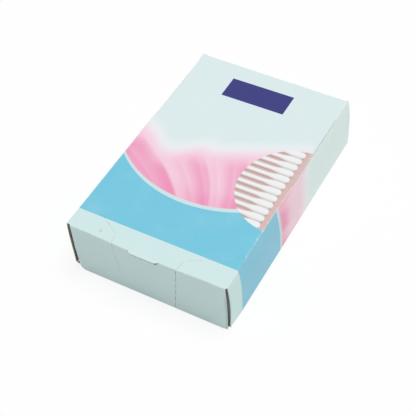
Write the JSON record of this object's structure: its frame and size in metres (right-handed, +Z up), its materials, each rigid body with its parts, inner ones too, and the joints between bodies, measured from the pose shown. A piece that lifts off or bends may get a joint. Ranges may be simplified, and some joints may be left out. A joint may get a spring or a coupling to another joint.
{
  "type": "cotton swab box",
  "caption": "Sealed folding carton for cotton swabs with glued end flaps, a thumb tab and a perforated tear line for its flip lid.",
  "frame": {"origin": "centre of the back panel's outer face, on the surface that the carton lies on", "axes": "+Y along the carton's length, away from the end with the thumb tab; +X across its width; +Z up through the front panel"},
  "size_m": [0.0815, 0.126, 0.0285],
  "materials": {
    "printed_board": "satin"
  },
  "bodies": {
    "root": {"carton": "printed_board"}
  },
  "joints": []
}
